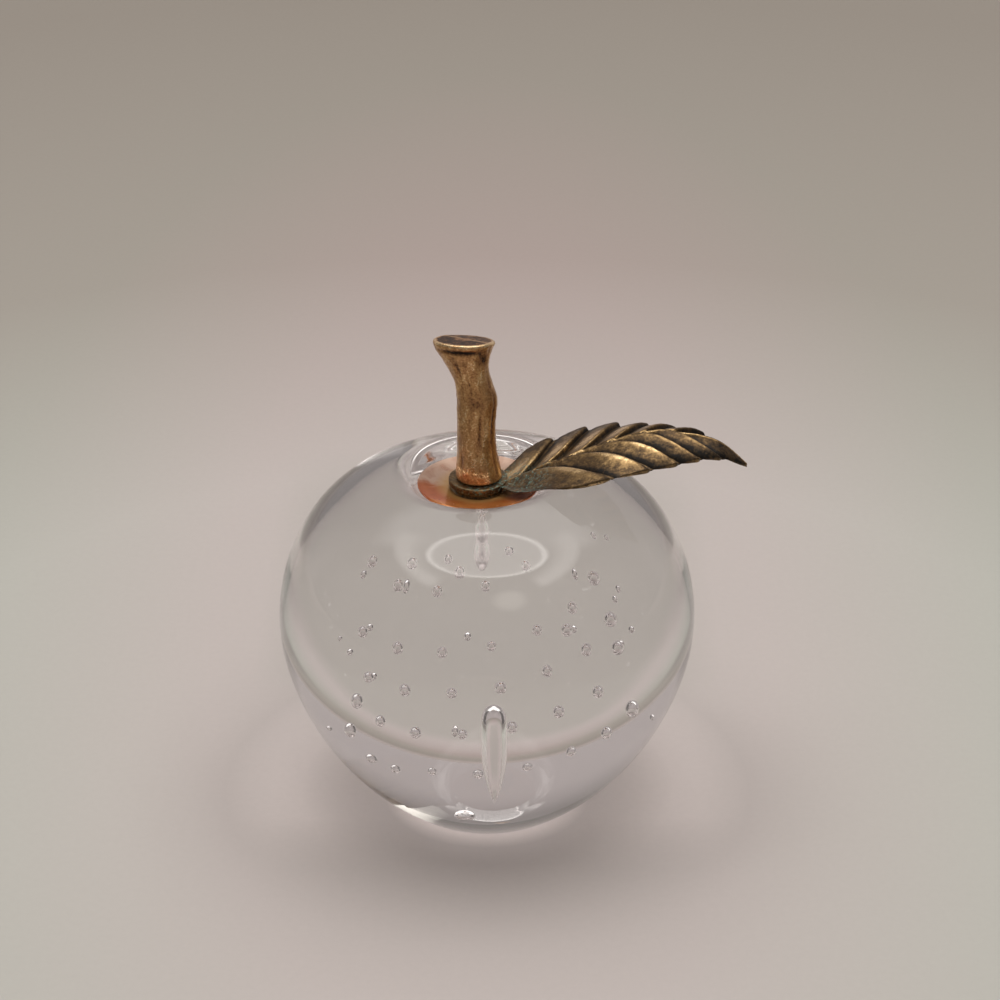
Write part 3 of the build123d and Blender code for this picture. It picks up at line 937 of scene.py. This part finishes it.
def floorMaterial():
    look = floorLook
    material, tree, shader = newMaterial("paleTable")
    place = objectPlace(tree)
    parts = addNode(tree, "ShaderNodeSeparateXYZ", {0: place}).outputs
    sideways = addMath(tree, "ABSOLUTE", parts["X"], 0.0)
    reach = addVector(tree, "LENGTH", place)
    tone = look["open"]
    # painted shade: the floor darkens away from the apple
    for ringTone, distances in look["rings"]:
        tone = addMix(tree, addRange(tree, reach, *distances), tone, ringTone)
    # painted light: a pink glow brightens the middle of the floor
    drawn = addVector(tree, "ADD", place, look["pinkGlowShift"])
    drawn = addVector(tree, "MULTIPLY", drawn, look["pinkGlowSqueeze"])
    pinkGlow = addRange(tree, addVector(tree, "LENGTH", drawn), *look["pinkGlowReach"])
    tone = addMix(tree, pinkGlow, tone, addVector(tree, "MULTIPLY", tone, look["pinkGlow"]))
    # painted light: the glass's caustic glow round it and under its foot
    halo = addProduct(
        tree,
        addRange(tree, reach, *look["haloReach"]),
        addRange(tree, parts["Y"], *look["haloFront"]),
        addRange(tree, sideways, *look["haloMiddle"]),
    )
    foot = addProduct(
        tree, addRange(tree, reach, *look["footReach"]), addRange(tree, parts["Y"], *look["footFront"])
    )
    tone = addMix(tree, addMath(tree, "MAXIMUM", halo, foot), tone, look["causticGlow"])
    # painted shadow of the apple on the floor behind it
    behind = addProduct(
        tree,
        addRange(tree, parts["Y"], *look["behindNear"]),
        addRange(tree, parts["Y"], *look["behindFar"]),
        addRange(tree, sideways, *look["behindSide"]),
    )
    tone = addMix(tree, behind, tone, look["behind"])
    # painted shade: the floor darkens far out to both sides
    beyond = addProduct(
        tree, addRange(tree, sideways, *look["sideFrom"]), addRange(tree, parts["Y"], *look["sideBack"])
    )
    tone = addMix(tree, beyond, tone, look["side"])
    fibre = addNoise(tree, 1.5, detail=6.0, roughness=0.6)
    tone = addMix(tree, addRange(tree, fibre, 0.3, 0.7, 0.0, 0.05), tone, look["fibre"])
    tree.links.new(tone, shader.inputs["Base Color"])
    tree.links.new(addRange(tree, fibre, 0.3, 0.7, 0.6, 0.7), shader.inputs["Roughness"])
    shader.inputs["Specular IOR Level"].default_value = 0.2
    return material


def makeFloor():
    reach = floorLook["reach"]
    level = -floorLook["gap"] * mm
    corners = [(reach * x, reach * y, level) for x, y in ((-1, -1), (1, -1), (1, 1), (-1, 1))]
    mesh = bpy.data.meshes.new("paleFloor")
    mesh.from_pydata(corners, [], [(0, 1, 2, 3)])
    mesh.materials.append(floorMaterial())
    floor = bpy.data.objects.new("paleFloor", mesh)
    bpy.context.scene.collection.objects.link(floor)


roomLook = {
    # tones from the floor up, each towards the back and towards the front
    "toFront": (0.25, -0.35),
    "low": ((0.435, 0.385, 0.37), (0.20, 0.185, 0.18)),
    "middle": ((0.29, 0.262, 0.25), (0.20, 0.19, 0.18)),
    "middleFrom": (0.22, 0.55),
    "high": ((1.38, 1.32, 1.27), (0.17, 0.16, 0.15)),
    "highFrom": (0.68, 0.78),
    "side": (0.12, 0.11, 0.105),
    "sideFrom": (0.86, 0.95),
    "sideUpTo": (0.84, 0.79),
    # a strip lamp high up on each side
    "strip": (2.3, 2.2, 2.1),
    "stripFrom": (0.79, 0.83),
    "stripUpTo": (0.91, 0.86),
    "stripSide": (0.70, 0.80),
    # a small lamp behind the camera, by its turn and rise in degrees and its soft edge
    "frontLamp": (1.7, 1.62, 1.45),
    "frontLampTurn": 162.0,
    "frontLampRise": 50.0,
    "frontLampEdge": (10.0, 5.0),
    # a round lamp overhead with a bright rim
    "lamp": (2.1, 2.02, 1.95),
    "lampRim": (5.5, 5.3, 5.1),
    "lampStretch": (1 / sin(radians(22)), 1 / sin(radians(18)), 0.0),
    "lampEdge": (1.0, 0.93),
    "rimWidth": 0.09,
    "backdrop": (0.46, 0.43, 0.39),
}


def makeWorld():
    # a soft room, with a plain backdrop where the camera looks straight at it
    look = roomLook
    world = bpy.data.worlds.new("softRoom")
    world.use_nodes = True
    bpy.context.scene.world = world
    tree = world.node_tree
    way = addNode(tree, "ShaderNodeTexCoord").outputs["Generated"]
    parts = addNode(tree, "ShaderNodeSeparateXYZ", {0: way}).outputs
    level = addVector(tree, "LENGTH", addVector(tree, "MULTIPLY", way, (1.0, 1.0, 0.0)))
    sideways = addMath(tree, "DIVIDE", addMath(tree, "ABSOLUTE", parts["X"], 0.0), level)
    toFront = addRange(tree, parts["Y"], *look["toFront"])
    low, middle, high = (addMix(tree, toFront, *look[height]) for height in ("low", "middle", "high"))
    colour = addMix(tree, addRange(tree, parts["Z"], *look["middleFrom"]), low, middle)
    colour = addMix(tree, addRange(tree, parts["Z"], *look["highFrom"]), colour, high)
    side = addProduct(
        tree, addRange(tree, sideways, *look["sideFrom"]), addRange(tree, parts["Z"], *look["sideUpTo"])
    )
    colour = addMix(tree, side, colour, look["side"])
    strip = addProduct(
        tree,
        addRange(tree, parts["Z"], *look["stripFrom"]),
        addRange(tree, parts["Z"], *look["stripUpTo"]),
        addRange(tree, sideways, *look["stripSide"]),
    )
    colour = addMix(tree, strip, colour, look["strip"])
    turn, rise = radians(look["frontLampTurn"]), radians(look["frontLampRise"])
    aim = (sin(turn) * cos(rise), cos(turn) * cos(rise), sin(rise))
    soft, full = (cos(radians(angle)) for angle in look["frontLampEdge"])
    frontLamp = addRange(tree, addVector(tree, "DOT_PRODUCT", way, aim), soft, full)
    colour = addMix(tree, frontLamp, colour, look["frontLamp"])
    away = addVector(tree, "LENGTH", addVector(tree, "MULTIPLY", way, look["lampStretch"]))
    above = addRange(tree, parts["Z"], 0.0, 0.1)
    lamp = addProduct(tree, addRange(tree, away, *look["lampEdge"]), above)
    colour = addMix(tree, lamp, colour, look["lamp"])
    offRim = addMath(tree, "ABSOLUTE", addMath(tree, "SUBTRACT", away, 1.0), 0.0)
    rim = addProduct(tree, addRange(tree, offRim, look["rimWidth"], 0.0), above)
    colour = addMix(tree, rim, colour, look["lampRim"])
    seen = addNode(tree, "ShaderNodeLightPath").outputs["Is Camera Ray"]
    colour = addMix(tree, seen, colour, look["backdrop"])
    tree.links.new(colour, tree.nodes["Background"].inputs["Color"])


cameraPlace = {
    "lens": 108.0,
    "sensor": 36.0,
    "place": (2.50, -504.09, 325.67),
    "tip": 62.54,
    "nearest": 10.0,
}


def makeCamera():
    data = bpy.data.cameras.new("photoCamera")
    data.lens = cameraPlace["lens"]
    data.sensor_width = cameraPlace["sensor"]
    data.clip_start = cameraPlace["nearest"] * mm
    camera = bpy.data.objects.new("photoCamera", data)
    camera.location = [v * mm for v in cameraPlace["place"]]
    camera.rotation_euler = (radians(cameraPlace["tip"]), 0, 0)
    bpy.context.scene.collection.objects.link(camera)
    bpy.context.scene.camera = camera


makeFloor()
makeWorld()
makeCamera()
bpy.context.scene.view_settings.view_transform = "Standard"
# light turns many times inside the glass before it leaves
bounces = bpy.context.scene.cycles
bounces.max_bounces = 32
bounces.glossy_bounces = 20
bounces.transmission_bounces = 32
print("floor, room and camera made")
